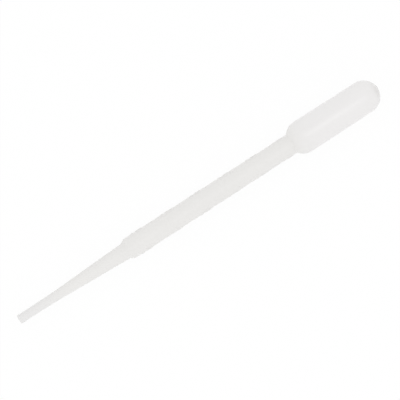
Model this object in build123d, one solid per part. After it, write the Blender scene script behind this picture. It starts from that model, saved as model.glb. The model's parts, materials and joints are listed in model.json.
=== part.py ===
from build123d import *
from math import asin, atan2, cos, degrees, hypot, radians, sin, sqrt
import os

# Dropper pipette (transfer pipette) for 3 mL, graduated every 0.5 mL.
#
# The real object is blow-moulded in one piece from soft, milky polyethylene, so it is one solid:
# a nozzle with a straight end, a taper, a small step, a long stem with graduation rings, and a
# capsule-shaped squeeze bulb. The cavity runs through all of them and is open at the nozzle only.
# The two mould halves leave a fine parting line along both sides, and the bulb's top is pinched
# shut where they close, which leaves a short weld across the pole.
#
# The section is drawn in the XY plane with the axis along +X and the nozzle's mouth at x = 0.
# It is turned into a body, and the body is then laid on the surface z = 0 as it comes to rest:
# on the bulb's shoulder and on the first ring, with the nozzle's mouth clear of it.
# The origin is on that surface, below the middle of the bounding box. All sizes are in mm.

# ---- Nozzle and taper ----
nozzle_length = 13.9          # to the corner between the straight end and the taper
nozzle_diameter = 3.44
bore_diameter = 2.20          # the hole through the nozzle
taper_length = 33.7
taper_diameter = 6.34         # outside, at the wide end of the taper
taper_wall = 0.65             # at the wide end of the taper
taper_blend_radius = 300.0    # eases the nozzle into the taper

# ---- Step and stem ----
step_length = 1.6             # the short slope from the taper out to the stem
step_foot_fillet = 2.0        # where the taper flares into the step
step_edge_fillet = 0.6        # where the step turns into the stem
cavity_step_length = 2.6      # inside, the step is a gentler slope
stem_length = 72.5            # from the step to the bulb's neck
stem_foot_diameter = 8.38     # at the step
stem_neck_diameter = 7.86     # at the bulb
stem_foot_wall = 0.70         # at the step
stem_neck_wall = 0.32         # at the bulb, where the tube is stretched more

# ---- Graduations: two low rings side by side for each half millilitre ----
graduation_start = 5.3        # from the step to the middle of the first pair
graduation_pitch = 13.3       # from the first pair to the second
graduation_pitch_fall = 0.37  # each next pitch is shorter, as the bore widens towards the bulb
graduation_end_gap = 3.5      # least plain stem between the last pair's middle and the neck
ring_spacing = 3.1            # between the two rings of a pair
ring_width = 2.0              # at its foot
upper_ring_height = 0.28      # the ring nearer the bulb
lower_ring_height = 0.21

# ---- Squeeze bulb ----
bulb_length = 38.3            # from the neck to the top
bulb_shoulder_diameter = 12.88
bulb_top_diameter = 12.50
bulb_wall = 0.42
bulb_top_wall = 0.80          # thicker at the pole, where the tube stretches least
neck_fillet = 0.8

# ---- What the mould leaves ----
parting_line_height = 0.05
parting_line_width = 0.24
parting_line_root = 0.15      # how deep the ridge is rooted in the wall
weld_half_angle = 15.0        # degrees each side of the pole
weld_width = 0.9
weld_outer_height = 0.12
weld_inner_height = 0.45

# ---- Places along the axis ----
taper_end = nozzle_length + taper_length
stem_foot = taper_end + step_length
neck = stem_foot + stem_length
pole = neck + bulb_length
shoulder_radius = bulb_shoulder_diameter / 2
shoulder_centre = neck + sqrt(shoulder_radius**2 - (stem_neck_diameter / 2) ** 2)
top_radius = bulb_top_diameter / 2
top_centre = pole - top_radius

# ---- The stem's side, which narrows a little towards the bulb ----
stem_lean = atan2((stem_foot_diameter - stem_neck_diameter) / 2, stem_length)


def on_stem(along, out):
    """A point beside the stem: along its side from the step, and out from it."""
    return (
        stem_foot + along * cos(stem_lean) + out * sin(stem_lean),
        stem_foot_diameter / 2 - along * sin(stem_lean) + out * cos(stem_lean),
    )


def ring(along, height):
    """The corners of one low ring on the stem's side: its foot, its crest and its other foot."""
    reach = ring_width / 2
    return [on_stem(along + x, y) for x, y in ((-reach, 0), (0, height), (reach, 0))]


def ring_places():
    """(distance along the stem's side, height) of every ring, from the step to the bulb."""
    places = []
    middle = graduation_start
    pitch = graduation_pitch
    while middle <= stem_length - graduation_end_gap:
        places.append((middle - ring_spacing / 2, lower_ring_height))
        places.append((middle + ring_spacing / 2, upper_ring_height))
        middle += pitch
        pitch -= graduation_pitch_fall
    return places


def tip_side(nozzle_radius, taper_radius, foot, past_step):
    """The side of the nozzle, taper and step, rounded where they meet, and on to a point past the step."""
    return FilletPolyline(
        (0, nozzle_radius),
        (nozzle_length, nozzle_radius),
        (taper_end, taper_radius),
        foot,
        past_step,
        radius=[taper_blend_radius, step_foot_fillet, step_edge_fillet],
    )


def bulb_side(neck_radius, first_radius, first_centre, last_radius, last_centre):
    """The side of the bulb: a round shoulder, a side that narrows a little, and a round top."""
    lean = asin((first_radius - last_radius) / (last_centre - first_centre))
    neck_angle = 180 - degrees(asin(neck_radius / first_radius))
    side_angle = 90 - degrees(lean)
    shoulder = CenterArc((first_centre, 0), first_radius, neck_angle, side_angle - neck_angle)
    top = CenterArc((last_centre, 0), last_radius, side_angle, -side_angle)
    return [shoulder, Line(shoulder @ 1, top @ 0), top]


def closed_to_axis(side, start):
    """The face between a side and the axis."""
    ends = [Line(side[-1] @ 1, (start, 0)), Line((start, 0), side[0] @ 0)]
    return make_face(Curve() + [*side, *ends])


def with_round_neck(face, neck_point):
    """The face with its corner at the bulb's neck rounded."""
    corner = face.vertices().sort_by_distance(neck_point)[0]
    return fillet(corner, neck_fillet)


def outside(rings=(), grow=0.0):
    """The half section of the outside, with these rings on the stem. grow moves its side outwards."""
    neck_radius = stem_neck_diameter / 2 + grow
    bulb = bulb_side(neck_radius, shoulder_radius + grow, shoulder_centre, top_radius + grow, top_centre)
    stem = [corner for along, height in rings for corner in ring(along, height)]
    stem.append(bulb[0] @ 0)
    tip = tip_side(nozzle_diameter / 2 + grow, taper_diameter / 2 + grow, on_stem(0, grow), stem[0])
    side = [tip, Polyline(*stem), *bulb] if rings else [tip, *bulb]
    return with_round_neck(closed_to_axis(side, 0), bulb[0] @ 0)


def cavity():
    """The half section of the cavity, which runs out past the mouth so that it cuts it open."""
    start = -nozzle_length
    bulb = bulb_side(
        stem_neck_diameter / 2 - stem_neck_wall,
        shoulder_radius - bulb_wall,
        shoulder_centre,
        top_radius - bulb_wall,
        top_centre - (bulb_top_wall - bulb_wall),
    )
    tip = Polyline(
        (start, bore_diameter / 2),
        (nozzle_length, bore_diameter / 2),
        (taper_end, taper_diameter / 2 - taper_wall),
        (taper_end + cavity_step_length, stem_foot_diameter / 2 - stem_foot_wall),
        bulb[0] @ 0,
    )
    return with_round_neck(closed_to_axis([tip, *bulb], start), bulb[0] @ 0)


def parting_line():
    """The ridge that the mould's joint leaves along both sides, under the rings, and over the bulb's top."""
    ridge = outside(grow=parting_line_height) - outside(grow=-parting_line_root)
    half = extrude(ridge, parting_line_width / 2, both=True)
    return half + mirror(half, Plane.XZ)


def weld():
    """The pinched seam across the bulb's pole, which stands out a little and thickens the wall inside."""
    inner_radius = top_radius - bulb_wall
    inner_centre = pole - bulb_top_wall - inner_radius
    turn = radians(weld_half_angle)
    outer_end = (top_centre + top_radius * cos(turn), top_radius * sin(turn))
    inner_end = (inner_centre + inner_radius * cos(turn), inner_radius * sin(turn))
    outer = ThreePointArc(outer_end, (pole + weld_outer_height, 0), (outer_end[0], -outer_end[1]))
    inner_pole = pole - bulb_top_wall - weld_inner_height
    inner = ThreePointArc((inner_end[0], -inner_end[1]), (inner_pole, 0), inner_end)
    ends = [Line(outer @ 1, inner @ 0), Line(inner @ 1, outer @ 0)]
    return extrude(make_face(Curve() + [outer, inner, *ends]), weld_width / 2, both=True)


def slope_under(corner):
    """The slope of the line through a corner of the section that touches the bulb's shoulder from below."""
    span = shoulder_centre - corner[0]
    return asin(shoulder_radius / hypot(span, corner[1])) - atan2(corner[1], span)


def lie_down(body, rings):
    """Lays the body on z = 0 along the line that touches the bulb's shoulder and the first ring it meets."""
    crests = [ring(along, height)[1] for along, height in rings]
    slope = min(slope_under(crest) for crest in crests)
    tilted = body.rotate(Axis.Y, -degrees(slope))
    box = tilted.bounding_box()
    return Pos(-box.center().X, -box.center().Y, -box.min.Z) * tilted


graduations = ring_places()
body = revolve(outside(graduations) - cavity(), Axis.X)
pipette = lie_down(body + parting_line() + weld(), graduations)

os.makedirs("parts", exist_ok=True)
export_step(pipette, "parts/pipette.step")
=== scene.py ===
"""The looks of a plastic dropper pipette: one hollow, milky, blow-moulded piece lying on a pale floor.

The piece is turned from its half section as the CAD solid is, and carries what the solid leaves out or
draws plainly: rings of two widths that differ a little from pair to pair, the parting line running on
over them, and a softly rounded mouth and weld. Sizes are in mm along the pipette's own axis, which
starts at the nozzle's mouth. Angles round the axis are in degrees from +Y, with 90 at the top.
"""

import json
import math

import bpy
from mathutils import Matrix, Vector


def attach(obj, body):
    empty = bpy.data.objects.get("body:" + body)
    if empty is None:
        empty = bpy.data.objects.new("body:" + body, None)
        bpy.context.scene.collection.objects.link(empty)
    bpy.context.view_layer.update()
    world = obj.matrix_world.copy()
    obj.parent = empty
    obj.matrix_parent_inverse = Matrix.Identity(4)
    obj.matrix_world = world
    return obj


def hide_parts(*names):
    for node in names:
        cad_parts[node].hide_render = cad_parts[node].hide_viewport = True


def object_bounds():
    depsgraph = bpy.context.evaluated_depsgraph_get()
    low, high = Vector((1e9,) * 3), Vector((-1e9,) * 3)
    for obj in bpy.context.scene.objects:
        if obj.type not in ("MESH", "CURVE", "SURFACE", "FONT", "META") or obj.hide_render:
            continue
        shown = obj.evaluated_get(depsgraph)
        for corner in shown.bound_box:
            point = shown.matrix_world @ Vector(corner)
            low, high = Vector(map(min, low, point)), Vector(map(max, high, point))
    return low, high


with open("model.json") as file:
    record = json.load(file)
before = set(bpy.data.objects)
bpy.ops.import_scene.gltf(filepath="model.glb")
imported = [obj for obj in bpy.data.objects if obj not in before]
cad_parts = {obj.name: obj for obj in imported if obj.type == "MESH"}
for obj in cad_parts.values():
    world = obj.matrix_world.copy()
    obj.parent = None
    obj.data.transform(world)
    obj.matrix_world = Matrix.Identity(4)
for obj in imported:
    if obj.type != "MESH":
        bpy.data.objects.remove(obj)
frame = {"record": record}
cad_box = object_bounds()
mm = 0.001

# ---- The half section ----
nozzle_length = 13.9
nozzle_radius = 1.72
bore_radius = 1.10
taper_length = 33.7
taper_radius = 3.17  # at the wide end
taper_wall = 0.65
step_length = 1.6
cavity_step_length = 2.6
stem_length = 72.5
stem_foot_radius = 4.17
stem_foot_wall = 0.70
stem_neck_radius = 3.89
stem_neck_wall = 0.32
bulb_length = 38.3
shoulder_radius = 6.44
top_radius = 6.25
bulb_wall = 0.42
bulb_top_wall = 0.80

# ---- The radii of the section's corners ----
rim_radius = 0.12
bore_rim_radius = 0.06
taper_blend_radius = 300.0
cavity_taper_blend_radius = 120.0
step_foot_fillet = 2.0
step_edge_fillet = 0.6
cavity_step_fillet = 2.0
neck_fillet = 0.8

# ---- Places along the axis ----
taper_end = nozzle_length + taper_length
stem_foot = taper_end + step_length
neck = stem_foot + stem_length
pole = neck + bulb_length
shoulder_centre = neck + math.sqrt(shoulder_radius**2 - stem_neck_radius**2)
top_centre = pole - top_radius

# ---- Graduations: pairs of rings, of which the one nearer the bulb is wider and has a flat top ----
first_pair = 5.3  # from the step to the middle of the first pair
pitch = 13.3
pitch_fall = 0.37
pair_strengths = (1.4, 0.9, 1.2, 0.8, 1.0, 0.9)  # shares of the height below, and of the shade painted at the ring ends
# Each ring: its place from the pair's middle, its height, half its flat top and how much painted shade its
# ends get by the parting line
ring_shapes = ((-1.40, 0.155, 0.0, 0.30), (1.45, 0.125, 0.85, 0.42))
ring_slope = 1.0  # how wide each flank is
ring_top_share = 0.5  # how much of a ring's height stands across the top of the stem
ring_end_shade_reach = 3.6  # how far above and below the parting line a ring's painted shade reaches
ring_end_shade_shares = (1.0, 0.6)  # how strong that painted shade is, at +Y, the side away from the side lamp, and at -Y

# ---- What the mould leaves ----
parting_height = 0.035
parting_offsets = (0.05, 0.12, 0.19)  # how far round from the line the mesh has columns
parting_shares = (0.85, 0.28, 0.0)  # how much of the line's height stands there
parting_most_angles = (1.7, 4.0, 5.6)  # the most that those columns are turned from the line
weld_half_width = 0.45
weld_half_length = 1.62
weld_outer_height = 0.12
weld_inner_height = 0.45
weld_density = 0.3
cap_inner_reach = 3.5  # the pole is painted darker this far from the axis, partly for thicker plastic and partly as painted shade of the dome's end, and fades out to the next
cap_outer_reach = 5.5
cap_density_and_shade = 0.13
cap_middle = -0.9  # this far beside the axis the pole is painted darkest
cap_middle_density_and_shade = 0.35  # painted shade added there, fading out to each side
cap_side_reach = 3.9

# ---- How closely the mesh follows the section and goes round it ----
tip_arc_steps = 8
cavity_arc_steps = 5
neck_steps = 8
shoulder_steps = 18
side_steps = 8
top_steps = 18
near_pole_angle = 18.0
near_pole_steps = 22
stem_end_gaps = (0.9, 0.7)
ring_pair_steps = 26
plain_stem_gaps = (1.5, 3.5, 5.5)  # rows between a pair of rings and the next
plain_angles = (7.0, 173.0)
plain_angle_steps = 47
least_radius = 0.01  # nearer to the axis than this, the columns turn no further from the line
axis_reach = 1e-6  # nearer to the axis than this, a row is one point

# ---- The plastic: each pair of colours goes from its darker clouds to its lighter ones ----
stem_colours = ((0.791, 0.782, 0.767), (0.831, 0.822, 0.807))
bulb_colours = ((0.815, 0.803, 0.798), (0.855, 0.843, 0.838))
tip_colour = (0.802, 0.797, 0.797)
tip_share = 0.7
# the colour of the weld's denser plastic, and of the painted shade round the pole and at the rings' ends
dense_and_shade_colour = (0.660, 0.648, 0.632)
tip_colour_ends = (4.0, 26.0)
bulb_colour_ends = (neck - 2.0, neck + 9.0)
bulb_skin_ends = (neck + 1.0, neck + 12.0)
cloud_size = 7.0
cloud_detail = 4.0
cloud_stretch = (2.5, 1, 1)
streak_size = 1.1
streak_detail = 3.0
streak_stretch = (28, 1, 1)
streak_share = 0.3  # of the streaks in the tone, beside the clouds
grain_size = 0.32
grain_detail = 2.0
grain_share = 0.3  # of the grain in the relief, beside the streaks
# The roughness stays above 0.28, because the renderer draws a line where it crosses that value.
stem_roughness = 0.40
bulb_roughness = 0.29
cloud_roughness = 0.10
stem_gloss = 0.5
bulb_gloss = 0.85
refraction = 1.51
relief_strength = 0.25
relief_depth = 0.04 * mm
milkiness = 0.15
milky_depth = 0.4 * mm

# ---- The floor, the light and the camera, in m ----
sky_strength = 0.955
overhead_watts = 0.205
overhead_size = 0.23
overhead_place = (0.05, -0.05, 0.62)  # right, up and above, as the picture has them
side_watts = 0.135
side_size = 0.36
side_place = (0.10, -0.80, 0.24)
camera_turn = -32.88
camera_place = (0.715 * mm, 1.55 * mm, 0.8332)
axis_height = 5.13 * mm  # of the axis above the floor, at the middle of the pipette
floor_reach = 3.0
floor_sides = 64
floor_colours = ((0.965, 0.965, 0.965), (0.98, 0.98, 0.98))
floor_mottle_size = 40.0  # in mm, as every noise's size is
floor_mottle_detail = 2.0
floor_shown_white = 0.93


def lying():
    """The matrix that puts the mouth and the axis where the record's nozzle mount has them."""
    mount = next(m for m in frame["record"]["mounts"] if m["kind"] == "pin")
    out = Vector(mount["axis"]).normalized()
    mouth = Vector(mount["pos_m"]) + out * (mount["dims"]["length_mm"] * mm / 2)
    along = -out
    side = Vector((0, 0, 1)).cross(along).normalized()
    up = along.cross(side)
    turn = Matrix((along, side, up)).transposed().to_4x4()
    return Matrix.Translation(mouth) @ turn


lay = lying()


def spread(start, end, steps):
    """Evenly spaced values from start to end."""
    return [start + (end - start) * i / steps for i in range(steps + 1)]


def rounded(corners, steps):
    """Points along a broken line of (x, r, radius) corners, with an arc at each inner corner."""
    points = [corners[0][:2]]
    for (ax, ay, _), (bx, by, radius), (cx, cy, _) in zip(corners, corners[1:], corners[2:]):
        back = Vector((ax - bx, ay - by)).normalized()
        on = Vector((cx - bx, cy - by)).normalized()
        half = back.angle(on) / 2
        reach = radius / math.tan(half)
        centre = Vector((bx, by)) + (back + on).normalized() * (radius / math.sin(half))
        first = Vector((bx, by)) + back * reach - centre
        last = Vector((bx, by)) + on * reach - centre
        turn = first.angle(last)
        for i in range(steps + 1):
            a = i / steps * turn
            spot = centre + (first * math.sin(turn - a) + last * math.sin(a)) / math.sin(turn)
            points.append((spot.x, spot.y))
    points.append(corners[-1][:2])
    return points


def arc(centre, radius, start, end, steps):
    """Points of an arc about a centre on the axis, with angles in degrees from the bulb's end."""
    angles = [math.radians(angle) for angle in spread(start, end, steps)]
    return [(centre + radius * math.cos(a), radius * math.sin(a)) for a in angles]


def neck_round(side_radius, round_radius):
    """The concave arc between the stem's side and the bulb's shoulder, from stem to bulb."""
    out = side_radius + neck_fillet
    across = math.sqrt((round_radius + neck_fillet) ** 2 - out**2)
    middle = Vector((shoulder_centre - across, out))
    angles = spread(-math.pi / 2, math.atan2(-out, across), neck_steps)
    return [(middle.x + neck_fillet * math.cos(a), middle.y + neck_fillet * math.sin(a)) for a in angles]


def bulb(first_radius, last_radius, last_centre, neck_points):
    """The bulb's side from the neck to the pole, with close rows near the pole for the weld."""
    lean = math.degrees(math.asin((first_radius - last_radius) / (last_centre - shoulder_centre)))
    touch = neck_points[-1]
    from_angle = math.degrees(math.atan2(touch[1], touch[0] - shoulder_centre))
    side_angle = 90 - lean
    shoulder = arc(shoulder_centre, first_radius, from_angle, side_angle, shoulder_steps)[1:]
    round_top = arc(last_centre, last_radius, side_angle, near_pole_angle, top_steps)
    near_pole = arc(last_centre, last_radius, near_pole_angle, 0.0, near_pole_steps)[1:]
    side = []
    for i in range(1, side_steps):
        t = i / side_steps
        side.append(tuple(a + (b - a) * t for a, b in zip(shoulder[-1], round_top[0])))
    return shoulder + side + round_top + near_pole


def ring_list():
    """(distance along the stem from the step, height, half its flat top, share of painted shade at its ends)
    of every ring.
    """
    places = []
    middle = first_pair
    step = pitch
    for strength in pair_strengths:
        for offset, height, flat, dense_and_shaded in ring_shapes:
            places.append((middle + offset, height * strength, flat, dense_and_shaded * strength))
        middle += step
        step -= pitch_fall
    return places


rings = ring_list()


def stem_points(end):
    """The stem's plain side up to the neck, with close rows where the rings stand."""
    lean = math.atan2(stem_foot_radius - stem_neck_radius, neck - stem_foot)
    length = (end - stem_foot) / math.cos(lean)
    places = {stem_end_gaps[0], length - stem_end_gaps[1]}
    for first, second in zip(rings[::2], rings[1::2]):
        pair_start = first[0] - first[2] - ring_slope
        pair_end = second[0] + second[2] + ring_slope
        places.update(spread(pair_start, pair_end, ring_pair_steps))
        plain = [pair_end + gap for gap in plain_stem_gaps]
        places.update(s for s in plain if s < length - plain_stem_gaps[0])
    return [
        (stem_foot + s * math.cos(lean), stem_foot_radius - s * math.sin(lean)) for s in sorted(places)
    ]


def outer_side():
    """The outside's side from the middle of the mouth's rim to the pole."""
    neck_points = neck_round(stem_neck_radius, shoulder_radius)
    stem = stem_points(neck_points[0][0])
    corners = [
        (0.0, (nozzle_radius + bore_radius) / 2, 0),
        (0.0, nozzle_radius, rim_radius),
        (nozzle_length, nozzle_radius, taper_blend_radius),
        (taper_end, taper_radius, step_foot_fillet),
        (stem_foot, stem_foot_radius, step_edge_fillet),
        (*stem[0], 0),
    ]
    tip = rounded(corners, tip_arc_steps)
    return tip + stem[1:] + neck_points + bulb(shoulder_radius, top_radius, top_centre, neck_points)


def inner_side():
    """The cavity's side from the mouth to its pole."""
    inner_shoulder = shoulder_radius - bulb_wall
    neck_points = neck_round(stem_neck_radius - stem_neck_wall, inner_shoulder)
    corners = [
        (0.0, (nozzle_radius + bore_radius) / 2, 0),
        (0.0, bore_radius, bore_rim_radius),
        (nozzle_length, bore_radius, cavity_taper_blend_radius),
        (taper_end, taper_radius - taper_wall, cavity_step_fillet),
        (taper_end + cavity_step_length, stem_foot_radius - stem_foot_wall, cavity_step_fillet),
        (*neck_points[0], 0),
    ]
    tip = rounded(corners, cavity_arc_steps)
    middle = top_centre - (bulb_top_wall - bulb_wall)
    return tip[1:-1] + neck_points + bulb(inner_shoulder, top_radius - bulb_wall, middle, neck_points)


def columns(radius):
    """(angle, how much of the parting line's height stands there) round the body, from +Y to +Y."""
    offsets = [
        min(math.degrees(offset / max(radius, least_radius)), most)
        for offset, most in zip(parting_offsets, parting_most_angles)
    ]
    strip = [(0.0, 1.0)] + list(zip(offsets, parting_shares))
    plain = [(angle, 0.0) for angle in spread(*plain_angles, plain_angle_steps)]
    half = strip + plain + [(180 - angle, share) for angle, share in reversed(strip[1:])]
    return half + [(angle + 180, share) for angle, share in half]


def soft_step(value):
    """1 in the middle, falling smoothly to 0 where value reaches 1."""
    return math.cos(math.pi / 2 * min(abs(value), 1.0)) ** 2


def weld_share(x, y, z):
    """How much of the weld's height stands at a point near the pole."""
    return soft_step(z / weld_half_width) * soft_step(y / weld_half_length) if x > top_centre else 0.0


def ring_share(x, middle, flat):
    """How much of a ring's height stands at x: all of it over its flat top, none past its flanks."""
    return soft_step(max(abs(x - stem_foot - middle) - flat, 0.0) / ring_slope)


def ring_height(x, angle):
    """How far the rings stand out. They are lower across the top, where they hardly show."""
    share = 1 - (1 - ring_top_share) * max(0.0, math.sin(math.radians(angle))) ** 2
    return share * sum(height * ring_share(x, middle, flat) for middle, height, flat, _ in rings)


def place(point, normal, angle, share, outside):
    """A vertex at an angle round the body, moved out by a ring, the parting line and the weld."""
    x, r = point
    a = math.radians(angle)
    stands = parting_height * share + ring_height(x, angle) if outside else 0.0
    weld = weld_share(x, r * math.cos(a), r * math.sin(a))
    stands = max(stands, (weld_outer_height if outside else weld_inner_height) * weld)
    x += normal[0] * stands
    r += normal[1] * stands
    return lay @ Vector((x * mm, r * math.cos(a) * mm, r * math.sin(a) * mm))


def density_and_shade(point, angle):
    """How much darker the plastic is painted at a point, from 0 to 1: denser plastic in the weld, thicker
    plastic and painted shade round the pole, and painted shade at the rings' ends where the mould's halves
    meet."""
    x, r = point
    y = r * math.cos(math.radians(angle))
    z = r * math.sin(math.radians(angle))
    # Round the pole: partly thicker plastic and partly painted shade of the dome's end, and the weld's denser
    # plastic.
    if x > top_centre:
        cap = soft_step(max(r - cap_inner_reach, 0.0) / (cap_outer_reach - cap_inner_reach))
        most = cap_density_and_shade + cap_middle_density_and_shade * soft_step((y - cap_middle) / cap_side_reach)
        return cap * most + weld_density * weld_share(x, y, z)
    # At the rings: painted shade at their ends by the parting line, stronger at +Y than at -Y.
    ring = sum(dense_and_shaded * ring_share(x, middle, flat) for middle, _, flat, dense_and_shaded in rings)
    share = ring_end_shade_shares[0 if y > 0 else 1]
    return share * ring * soft_step(z / ring_end_shade_reach)


def normals(points):
    """The section's normals, to the left of the way the points run."""
    out = []
    for i, _ in enumerate(points):
        a = points[max(i - 1, 0)]
        b = points[min(i + 1, len(points) - 1)]
        length = math.hypot(b[0] - a[0], b[1] - a[1])
        out.append((-(b[1] - a[1]) / length, (b[0] - a[0]) / length))
    return out


def hollow_body(name):
    """One closed mesh: the cavity's side from its pole to the mouth, then the outside to the pole."""
    inside = inner_side()[::-1]
    section = inside + outer_side()
    facing = normals(section)
    facing[0] = (-1.0, 0.0)
    facing[-1] = (1.0, 0.0)
    verts = []
    dense_and_shaded = []
    rows = []
    for i, (point, normal) in enumerate(zip(section, facing)):
        is_outside = i >= len(inside)
        around = columns(point[1]) if point[1] > axis_reach else [(0.0, 0.0)]
        rows.append(list(range(len(verts), len(verts) + len(around))))
        verts.extend(place(point, normal, angle, share, is_outside) for angle, share in around)
        # each vertex's share of denser plastic and of painted shade
        dense_and_shaded.extend(density_and_shade(point, angle) for angle, _ in around)
    faces = []
    for low, high in zip(rows, rows[1:]):
        count = max(len(low), len(high))
        for k in range(count):
            after = (k + 1) % count
            if len(low) == 1:
                faces.append((low[0], high[after], high[k]))
            elif len(high) == 1:
                faces.append((low[k], low[after], high[0]))
            else:
                faces.append((low[k], low[after], high[after], high[k]))
    mesh = bpy.data.meshes.new(name)
    mesh.from_pydata(verts, [], faces)
    mesh.attributes.new("dense_and_shaded", "FLOAT", "POINT").data.foreach_set("value", dense_and_shaded)
    mesh.validate()
    mesh.polygons.foreach_set("use_smooth", [True] * len(mesh.polygons))
    piece = bpy.data.objects.new(name, mesh)
    bpy.context.scene.collection.objects.link(piece)
    return piece


class Nodes:
    """A short way to write a node tree."""

    def __init__(self, tree):
        self.tree = tree
        tree.nodes.clear()

    def add(self, kind, inputs=None, **settings):
        """A node of a kind, with its settings, and its inputs set or linked."""
        node = self.tree.nodes.new(kind)
        for key, value in settings.items():
            setattr(node, key, value)
        for key, value in (inputs or {}).items():
            if isinstance(value, bpy.types.NodeSocket):
                self.tree.links.new(value, node.inputs[key])
            else:
                node.inputs[key].default_value = value
        return node

    def math(self, operation, first, second):
        """What an operation makes of two values."""
        return self.add("ShaderNodeMath", {0: first, 1: second}, operation=operation).outputs[0]

    def blend(self, first, second, share):
        """The sum of two values, the second with this share and the first with the rest."""
        return self.math("ADD", self.math("MULTIPLY", first, 1 - share), self.math("MULTIPLY", second, share))

    def mix(self, factor, first, second):
        """A colour between two, each given as a socket or as its red, green and blue."""
        ends = [end if isinstance(end, bpy.types.NodeSocket) else (*end, 1) for end in (first, second)]
        return self.add("ShaderNodeMix", {0: factor, 6: ends[0], 7: ends[1]}, data_type="RGBA").outputs[2]

    def change(self, value, start, end, first, last, kind="LINEAR"):
        """A value that goes from first to last as the given one goes from start to end."""
        inputs = {0: value, 1: start, 2: end, 3: first, 4: last}
        return self.add("ShaderNodeMapRange", inputs, interpolation_type=kind).outputs[0]

    def between(self, along, ends, first, last):
        """A value that goes smoothly from first to last between two places along the axis, in mm."""
        return self.change(along, ends[0] * mm, ends[1] * mm, first, last, "SMOOTHSTEP")

    def noise(self, where, size, detail, stretch=(1, 1, 1)):
        """Noise whose features are about size mm across, drawn out along the axes by stretch."""
        scale = tuple(1 / (size * mm * s) for s in stretch)
        moved = self.add("ShaderNodeMapping", {"Vector": where, "Scale": scale})
        inputs = {"Vector": moved.outputs[0], "Scale": 1.0, "Detail": detail}
        return self.add("ShaderNodeTexNoise", inputs).outputs["Fac"]


def milky_polyethylene():
    """Soft, milky plastic with cloudy depth, faint streaks along the tube and a satin skin.

    The blown bulb is thinner, so it looks a little lighter and cooler, and its skin is glossier. The
    tip is cooler too. Where the plastic is marked darker, this is the weld's denser plastic, with painted
    shade round the pole and at the rings' ends.
    """
    material = bpy.data.materials.new("milky_polyethylene")
    material.use_nodes = True
    n = Nodes(material.node_tree)
    placed = n.add("ShaderNodeTexCoord").outputs["Object"]
    back = lay.inverted()
    where = n.add(
        "ShaderNodeMapping",
        {"Vector": placed, "Location": back.to_translation(), "Rotation": back.to_euler()},
    ).outputs[0]
    along = n.add("ShaderNodeSeparateXYZ", {0: where}).outputs[0]
    tip = n.between(along, tip_colour_ends, tip_share, 0.0)
    thinned = n.between(along, bulb_colour_ends, 0.0, 1.0)
    blown = n.between(along, bulb_skin_ends, 0.0, 1.0)
    dense_and_shaded = n.add("ShaderNodeAttribute", attribute_name="dense_and_shaded").outputs["Fac"]

    clouds = n.noise(where, cloud_size, cloud_detail, cloud_stretch)
    streaks = n.noise(where, streak_size, streak_detail, streak_stretch)
    grain = n.noise(where, grain_size, grain_detail)
    tone = n.blend(clouds, streaks, streak_share)
    stem = n.mix(tone, *stem_colours)
    bulb_skin = n.mix(tone, *bulb_colours)
    body = n.mix(thinned, stem, bulb_skin)
    plain = n.mix(tip, body, tip_colour)
    # painted shade and denser plastic darken the colour here
    colour = n.mix(dense_and_shaded, plain, dense_and_shade_colour)

    satin = n.change(blown, 0.0, 1.0, stem_roughness, bulb_roughness)
    rough = n.math("ADD", satin, n.math("MULTIPLY", tone, cloud_roughness))
    gloss = n.change(blown, 0.0, 1.0, stem_gloss, bulb_gloss)
    relief = n.blend(streaks, grain, grain_share)
    bump = n.add("ShaderNodeBump", {"Strength": relief_strength, "Distance": relief_depth, "Height": relief})
    skin = n.add(
        "ShaderNodeBsdfPrincipled",
        {
            "Base Color": colour,
            "Roughness": rough,
            "IOR": refraction,
            "Specular IOR Level": gloss,
            "Normal": bump.outputs[0],
            "Subsurface Weight": milkiness,
            "Subsurface Radius": (1.0, 1.0, 1.0),
            "Subsurface Scale": milky_depth,
        },
    )
    n.add("ShaderNodeOutputMaterial", {"Surface": skin.outputs[0]})
    return material


def floor_paint():
    """A white floor that keeps the shadow. Where it is seen, most of it is plain white."""
    material = bpy.data.materials.new("white_floor")
    material.use_nodes = True
    n = Nodes(material.node_tree)
    where = n.add("ShaderNodeTexCoord").outputs["Object"]
    mottle = n.noise(where, floor_mottle_size, floor_mottle_detail)
    colour = n.mix(mottle, *floor_colours)
    matt = n.add("ShaderNodeBsdfDiffuse", {"Color": colour})
    white = n.add("ShaderNodeEmission", {"Color": (1, 1, 1, 1), "Strength": 1.0})
    path = n.add("ShaderNodeLightPath")
    seen = n.math("MAXIMUM", path.outputs["Is Camera Ray"], path.outputs["Is Glossy Ray"])
    seen = n.math("MAXIMUM", seen, path.outputs["Is Transmission Ray"])
    share = n.math("MULTIPLY", seen, floor_shown_white)
    mixed = n.add("ShaderNodeMixShader", {0: share, 1: matt.outputs[0], 2: white.outputs[0]})
    n.add("ShaderNodeOutputMaterial", {"Surface": mixed.outputs[0]})
    return material


def lay_floor():
    """A wide round floor at the height the pipette lies on."""
    angles = [2 * math.pi * i / floor_sides for i in range(floor_sides)]
    rim = [(floor_reach * math.cos(a), floor_reach * math.sin(a), 0.0) for a in angles]
    mesh = bpy.data.meshes.new("floor")
    mesh.from_pydata(rim, [], [tuple(range(floor_sides))])
    floor = bpy.data.objects.new("floor", mesh)
    bpy.context.scene.collection.objects.link(floor)
    floor.location = (0, 0, cad_box[0][2])
    mesh.materials.append(floor_paint())


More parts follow.
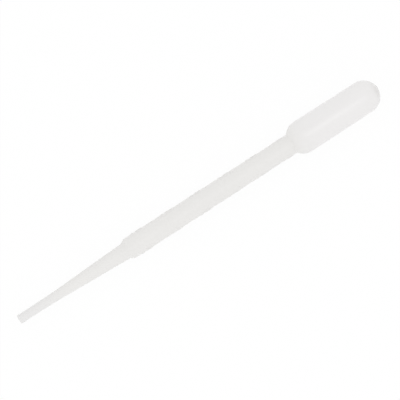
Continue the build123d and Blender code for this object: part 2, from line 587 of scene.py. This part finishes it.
def light_world():
    """An even white surrounding, a little below white as light, and plain white where it is seen."""
    world = bpy.data.worlds.new("studio")
    bpy.context.scene.world = world
    world.use_nodes = True
    n = Nodes(world.node_tree)
    path = n.add("ShaderNodeLightPath")
    seen = n.math("MAXIMUM", path.outputs["Is Camera Ray"], path.outputs["Is Transmission Ray"])
    strength = n.change(seen, 0.0, 1.0, sky_strength, 1.0)
    sky = n.add("ShaderNodeBackground", {"Color": (1, 1, 1, 1), "Strength": strength})
    n.add("ShaderNodeOutputWorld", {"Surface": sky.outputs[0]})


def soft_lamp(name, where, aim, size, power):
    """A round lamp that shines from where to aim."""
    light = bpy.data.lights.new(name, "AREA")
    light.shape = "DISK"
    light.size = size
    light.energy = power
    lamp = bpy.data.objects.new(name, light)
    bpy.context.scene.collection.objects.link(lamp)
    lamp.location = where
    lamp.rotation_euler = (Vector(where) - Vector(aim)).to_track_quat("Z", "Y").to_euler()


# ---- The piece ----
pipette = hollow_body("pipette_body")
pipette.data.materials.append(milky_polyethylene())
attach(pipette, "root")
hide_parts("pipette")

# ---- The floor, the light and the camera, which looks straight down ----
lay_floor()
light_world()

low, high = (Vector(corner) for corner in cad_box)
middle = (low + high) / 2
turn = math.radians(camera_turn)
right = Vector((math.cos(turn), math.sin(turn), 0))
up = Vector((-math.sin(turn), math.cos(turn), 0))
above = Vector((0, 0, 1))


def in_view(start, by):
    """The point to the right, up and towards the camera from start by these distances."""
    return start + right * by[0] + up * by[1] + above * by[2]


soft_lamp("overhead", in_view(middle, overhead_place), middle, overhead_size, overhead_watts)
soft_lamp("side", in_view(middle, side_place), middle, side_size, side_watts)

lens = bpy.data.cameras.new("camera")
lens.lens = 200
lens.sensor_width = 36
lens.clip_start = 0.01
lens.clip_end = 20
camera = bpy.data.objects.new("camera", lens)
bpy.context.scene.collection.objects.link(camera)
camera.location = in_view(Vector((middle.x, middle.y, low.z + axis_height)), camera_place)
camera.rotation_euler = (0, 0, turn)
bpy.context.scene.camera = camera

bpy.context.scene.view_settings.view_transform = "Standard"
